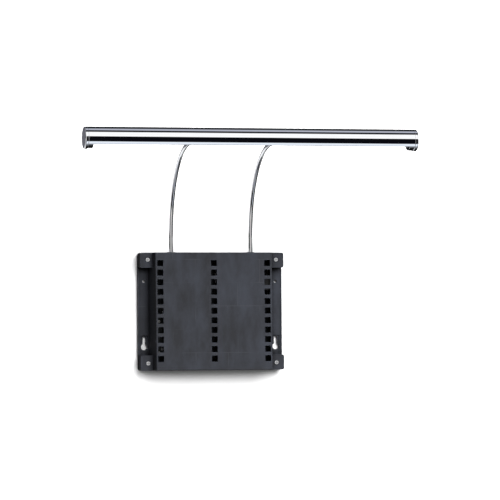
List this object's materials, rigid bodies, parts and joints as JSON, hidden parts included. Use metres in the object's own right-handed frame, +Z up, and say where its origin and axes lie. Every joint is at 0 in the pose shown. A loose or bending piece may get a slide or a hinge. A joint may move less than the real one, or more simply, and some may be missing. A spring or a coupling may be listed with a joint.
{
  "type": "picture light",
  "caption": "Cordless battery picture light: black wall housing with picture-hook holes, two bent chrome arms that slide for height, and a long chrome tube shade that tilts.",
  "frame": {"origin": "middle of the housing's wall face", "axes": "+Y into the wall, +X along the shade to the right as seen from the room, +Z up"},
  "size_m": [0.432, 0.259, 0.3072],
  "materials": {
    "housing_black": "moulded, finely textured",
    "inner_black": "moulded",
    "chrome_plate": "polished",
    "screw_steel": "zinc plated",
    "spring_brass": "bright",
    "cell_wrap": "shrink wrap",
    "board_mask": "solder mask",
    "lead_insulation": "wire insulation",
    "strip_white": "white solder mask",
    "led_lens": "phosphor",
    "lens_frost": "frosted",
    "carrier_aluminium": "extruded"
  },
  "bodies": {
    "housing": {"back_plate": "housing_black", "front_cover": "housing_black", "cover_screws": "screw_steel", "battery_holder_left": "inner_black", "battery_holder_right": "inner_black", "battery_cells_left": "cell_wrap", "battery_cells_right": "cell_wrap", "contact_springs": "screw_steel", "contact_plates": "spring_brass", "driver_board": "board_mask", "board_parts": "inner_black", "board_screws": "screw_steel", "switch_body": "inner_black", "inner_leads": "lead_insulation", "arm_bush_left": "inner_black", "arm_bush_right": "inner_black", "arm_guide_left": "inner_black", "arm_guide_right": "inner_black", "guide_screws": "screw_steel", "arm_contacts": "spring_brass"},
    "door": {"battery_door": "housing_black", "door_pins": "screw_steel"},
    "switch": {"switch_knob": "housing_black"},
    "arms": {"arm_left": "chrome_plate", "arm_right": "chrome_plate", "stop_collar_left": "spring_brass", "stop_collar_right": "spring_brass", "collar_screws": "screw_steel", "arm_eye_left": "chrome_plate", "arm_eye_right": "chrome_plate"},
    "shade": {"shade_shell": "chrome_plate", "end_cap_left": "chrome_plate", "end_cap_right": "chrome_plate", "led_carrier": "carrier_aluminium", "led_board": "strip_white", "leds": "led_lens", "diffuser": "lens_frost", "shade_leads": "lead_insulation", "hinge_bracket_left": "chrome_plate", "hinge_bracket_right": "chrome_plate", "bracket_pad_left": "inner_black", "bracket_pad_right": "inner_black", "bracket_rivets": "screw_steel", "rivet_washers": "inner_black", "pivot_screws": "screw_steel", "pivot_nuts": "screw_steel", "friction_washers": "spring_brass"}
  },
  "joints": [
    {"name": "arm_slide", "type": "slide", "parent": "housing", "child": "arms", "axis": [0, 0, 1], "range_m": [-0.018, 0.045]},
    {"name": "shade_tilt", "type": "hinge", "parent": "arms", "child": "shade", "pos_m": [0, -0.221, 0.21685], "axis": [1, 0, 0], "range_deg": [-30, 60]},
    {"name": "door_swing", "type": "hinge", "parent": "housing", "child": "door", "pos_m": [0, -0.0012, -0.0652], "axis": [-1, 0, 0], "range_deg": [0, 95]},
    {"name": "switch_slide", "type": "slide", "parent": "housing", "child": "switch", "axis": [0, 0, 1], "range_m": [0, 0.004]}
  ]
}
